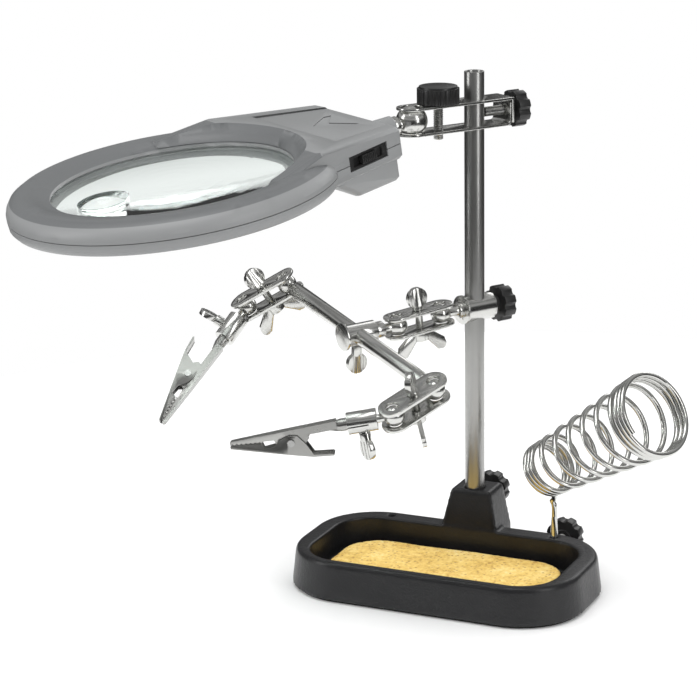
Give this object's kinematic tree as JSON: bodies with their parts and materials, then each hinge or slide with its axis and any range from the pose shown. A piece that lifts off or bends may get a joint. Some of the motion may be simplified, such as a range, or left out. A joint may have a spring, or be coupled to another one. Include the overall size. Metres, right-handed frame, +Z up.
{
  "type": "helping-hand soldering stand",
  "caption": "Soldering stand: cast base with sponge tray, pole with lit magnifier, ball-jointed arm with spring clips, and a coiled wire iron holder.",
  "frame": {"origin": "centre of the base pad's underside", "axes": "+X along the long side of the base towards the iron holder, +Y towards the pole and the back, +Z up along the pole"},
  "size_m": [0.2923, 0.2461, 0.2565],
  "materials": {
    "black_casting": "satin black paint on cast iron",
    "foot_pad": "matte black rubber pad",
    "sponge": "open-celled cellulose sponge",
    "brushed_pole": "brushed stainless tube",
    "polished_steel": "nickel plate",
    "screw_steel": "zinc-plated steel",
    "holder_wire": "bright plated spring wire",
    "plated_clip": "nickel-plated sheet steel",
    "black_knob": "moulded black plastic",
    "grey_shell": "fine-grained grey ABS",
    "black_switch": "black plastic",
    "lens_glass": "clear lens",
    "cell_wrap": "plain cell sleeve",
    "led_resin": "clear resin"
  },
  "bodies": {
    "base": {"base_casting": "black_casting", "base_pad": "foot_pad"},
    "sponge": {"sponge": "sponge"},
    "pole": {"pole": "brushed_pole"},
    "pole_lock": {"pole_lock_knob": "black_knob", "pole_lock_screw": "screw_steel"},
    "holder_lock": {"holder_lock_knob": "black_knob", "holder_lock_screw": "screw_steel"},
    "iron_holder": {"iron_holder": "holder_wire"},
    "bracket": {"bracket_upper_plate": "polished_steel", "bracket_lower_plate": "polished_steel"},
    "bracket_clamp": {"bracket_knob": "black_knob", "bracket_bolt": "screw_steel"},
    "bracket_screw": {"bracket_star_knob": "black_knob", "bracket_star_screw": "screw_steel"},
    "head_stud": {"magnifier_ball_stud": "polished_steel"},
    "magnifier": {"magnifier_top_shell": "grey_shell", "magnifier_bottom_shell": "grey_shell", "main_lens": "lens_glass", "inset_lens": "lens_glass", "batteries": "cell_wrap", "battery_contacts": "screw_steel", "switch_body": "black_switch", "leds": "led_resin", "shell_screws": "screw_steel"},
    "battery_door": {"battery_door": "grey_shell"},
    "switch_slider": {"switch_slider": "black_switch"},
    "collar": {"collar": "polished_steel", "collar_ball_stud": "polished_steel"},
    "collar_screw": {"collar_star_knob": "black_knob", "collar_star_screw": "screw_steel"},
    "mid_plates": {"mid_upper_plate": "polished_steel", "mid_lower_plate": "polished_steel"},
    "mid_screw": {"mid_thumb_screw": "polished_steel"},
    "mid_nut": {"mid_wing_nut": "polished_steel"},
    "tee": {"tee_barrel": "polished_steel", "tee_ball_stud": "polished_steel"},
    "tee_screw": {"tee_thumb_screw": "polished_steel"},
    "arm_rod": {"arm_rod": "polished_steel"},
    "left_plates": {"left_upper_plate": "polished_steel", "left_lower_plate": "polished_steel"},
    "left_screw": {"left_thumb_screw": "polished_steel"},
    "left_nut": {"left_wing_nut": "polished_steel"},
    "left_sleeve": {"left_clip_sleeve": "polished_steel"},
    "left_sleeve_screw": {"left_sleeve_screw": "polished_steel"},
    "left_clip": {"left_clip_fixed_jaw": "plated_clip", "left_clip_rivet": "screw_steel", "left_clip_spring": "screw_steel"},
    "left_jaw": {"left_clip_moving_jaw": "plated_clip"},
    "right_plates": {"right_upper_plate": "polished_steel", "right_lower_plate": "polished_steel"},
    "right_screw": {"right_thumb_screw": "polished_steel"},
    "right_nut": {"right_wing_nut": "polished_steel"},
    "right_sleeve": {"right_clip_sleeve": "polished_steel"},
    "right_sleeve_screw": {"right_sleeve_screw": "polished_steel"},
    "right_clip": {"right_clip_fixed_jaw": "plated_clip", "right_clip_rivet": "screw_steel", "right_clip_spring": "screw_steel"},
    "right_jaw": {"right_clip_moving_jaw": "plated_clip"}
  },
  "joints": [
    {"name": "sponge_lift", "type": "slide", "parent": "base", "child": "sponge", "axis": [0, 0, 1], "range_m": [0, 0.02]},
    {"name": "pole_turn", "type": "hinge", "parent": "base", "child": "pole", "pos_m": [0, 0.0402, 0.02], "axis": [0, 0, 1], "range_deg": [-90, 25]},
    {"name": "pole_lock_turn", "type": "hinge", "parent": "base", "child": "pole_lock", "pos_m": [0, 0.06, 0.032], "axis": [0, 1, 0], "continuous": true},
    {"name": "holder_lock_turn", "type": "hinge", "parent": "base", "child": "holder_lock", "pos_m": [0.045, 0.05, 0.0155], "axis": [0, 1, 0], "continuous": true},
    {"name": "holder_swing", "type": "hinge", "parent": "base", "child": "iron_holder", "pos_m": [0.045, 0.0361, 0.02], "axis": [0, 0, 1], "range_deg": [-30, 45]},
    {"name": "bracket_height", "type": "slide", "parent": "pole", "child": "bracket", "axis": [0, 0, 1], "range_m": [-0.03, 0.01]},
    {"name": "bracket_clamp_turn", "type": "hinge", "parent": "bracket", "child": "bracket_clamp", "pos_m": [-0.01197, 0.02246, 0.2355], "axis": [0, 0, 1], "continuous": true},
    {"name": "bracket_screw_turn", "type": "hinge", "parent": "bracket", "child": "bracket_screw", "pos_m": [0.01118, 0.05678, 0.2355], "axis": [-0.5592, -0.829, 0], "continuous": true},
    {"name": "magnifier_swing", "type": "hinge", "parent": "bracket", "child": "head_stud", "pos_m": [-0.02069, 0.00953, 0.2355], "axis": [0, 0, 1], "range_deg": [-30, 30]},
    {"name": "magnifier_roll", "type": "hinge", "parent": "head_stud", "child": "magnifier", "pos_m": [-0.03065, -0.00524, 0.23293], "axis": [-0.5535, -0.8206, -0.1426], "range_deg": [-20, 20]},
    {"name": "battery_door_lift", "type": "slide", "parent": "magnifier", "child": "battery_door", "axis": [-0.0429, -0.0636, 0.9971], "range_m": [0, 0.015]},
    {"name": "light_switch", "type": "slide", "parent": "magnifier", "child": "switch_slider", "axis": [0.2819, 0.9497, 0.1362], "range_m": [-0.005, 0.005]},
    {"name": "collar_height", "type": "slide", "parent": "pole", "child": "collar", "axis": [0, 0, 1], "range_m": [-0.03, 0.02]},
    {"name": "collar_screw_turn", "type": "hinge", "parent": "collar", "child": "collar_screw", "pos_m": [0.00795, 0.05292, 0.136], "axis": [-0.5299, -0.848, 0], "continuous": true},
    {"name": "mid_swing", "type": "hinge", "parent": "collar", "child": "mid_plates", "pos_m": [-0.01129, 0.02214, 0.136], "axis": [-0.0671, -0.089, 0.9938], "range_deg": [-35, 35]},
    {"name": "mid_screw_turn", "type": "hinge", "parent": "mid_plates", "child": "mid_screw", "pos_m": [-0.01876, 0.01222, 0.13461], "axis": [-0.0671, -0.089, 0.9938], "continuous": true},
    {"name": "mid_nut_turn", "type": "hinge", "parent": "mid_plates", "child": "mid_nut", "pos_m": [-0.01876, 0.01222, 0.13461], "axis": [-0.0671, -0.089, 0.9938], "continuous": true},
    {"name": "tee_swing", "type": "hinge", "parent": "mid_plates", "child": "tee", "pos_m": [-0.02624, 0.0023, 0.13321], "axis": [-0.0671, -0.089, 0.9938], "range_deg": [-35, 35]},
    {"name": "tee_screw_turn", "type": "hinge", "parent": "tee", "child": "tee_screw", "pos_m": [-0.03991, -0.01618, 0.13237], "axis": [0.0903, -0.112, 0.9896], "continuous": true},
    {"name": "rod_slide", "type": "slide", "parent": "tee", "child": "arm_rod", "axis": [0.7991, -0.5849, -0.1391], "range_m": [-0.035, 0.035]},
    {"name": "left_plates_swing", "type": "hinge", "parent": "arm_rod", "child": "left_plates", "pos_m": [-0.0988, 0.02693, 0.14262], "axis": [-0.4223, -0.3759, 0.8249], "range_deg": [-30, 30]},
    {"name": "left_screw_turn", "type": "hinge", "parent": "left_plates", "child": "left_screw", "pos_m": [-0.1093, 0.02468, 0.13622], "axis": [-0.4223, -0.3759, 0.8249], "continuous": true},
    {"name": "left_nut_turn", "type": "hinge", "parent": "left_plates", "child": "left_nut", "pos_m": [-0.1093, 0.02468, 0.13622], "axis": [-0.4223, -0.3759, 0.8249], "continuous": true},
    {"name": "left_clip_swing", "type": "hinge", "parent": "left_plates", "child": "left_sleeve", "pos_m": [-0.1198, 0.02243, 0.12982], "axis": [-0.4223, -0.3759, 0.8249], "range_deg": [-30, 30]},
    {"name": "left_sleeve_screw_turn", "type": "hinge", "parent": "left_sleeve", "child": "left_sleeve_screw", "pos_m": [-0.12394, 0.01165, 0.12024], "axis": [0.896, 0.0485, -0.4413], "continuous": true},
    {"name": "left_clip_twist", "type": "hinge", "parent": "left_sleeve", "child": "left_clip", "pos_m": [-0.12394, 0.01165, 0.12024], "axis": [-0.2757, -0.7183, -0.6388], "range_deg": [-25, 25]},
    {"name": "left_clip_open", "type": "hinge", "parent": "left_clip", "child": "left_jaw", "pos_m": [-0.13678, -0.01324, 0.09992], "axis": [-0.348, 0.694, -0.6303], "range_deg": [0, 20], "stiffness_Nm_per_rad": 0.02, "springref_deg": -34.38, "deforming": ["left_clip_spring"]},
    {"name": "right_plates_swing", "type": "hinge", "parent": "arm_rod", "child": "right_plates", "pos_m": [0.01898, -0.05929, 0.12212], "axis": [-0.0227, -0.3782, 0.9254], "range_deg": [-30, 30]},
    {"name": "right_screw_turn", "type": "hinge", "parent": "right_plates", "child": "right_screw", "pos_m": [0.01287, -0.06933, 0.11787], "axis": [-0.0227, -0.3782, 0.9254], "continuous": true},
    {"name": "right_nut_turn", "type": "hinge", "parent": "right_plates", "child": "right_nut", "pos_m": [0.01287, -0.06933, 0.11787], "axis": [-0.0227, -0.3782, 0.9254], "continuous": true},
    {"name": "right_clip_swing", "type": "hinge", "parent": "right_plates", "child": "right_sleeve", "pos_m": [0.00677, -0.07938, 0.11361], "axis": [-0.0227, -0.3782, 0.9254], "range_deg": [-30, 30]},
    {"name": "right_sleeve_screw_turn", "type": "hinge", "parent": "right_sleeve", "child": "right_sleeve_screw", "pos_m": [-0.00695, -0.08486, 0.11103], "axis": [-0.1596, -0.0638, 0.9851], "continuous": true},
    {"name": "right_clip_twist", "type": "hinge", "parent": "right_sleeve", "child": "right_clip", "pos_m": [-0.00695, -0.08486, 0.11103], "axis": [-0.9147, -0.3658, -0.1719], "range_deg": [-25, 25]},
    {"name": "right_clip_open", "type": "hinge", "parent": "right_clip", "child": "right_jaw", "pos_m": [-0.03782, -0.09721, 0.10142], "axis": [0.3714, -0.9285, 0], "range_deg": [0, 20], "stiffness_Nm_per_rad": 0.02, "springref_deg": -34.38, "deforming": ["right_clip_spring"]}
  ]
}
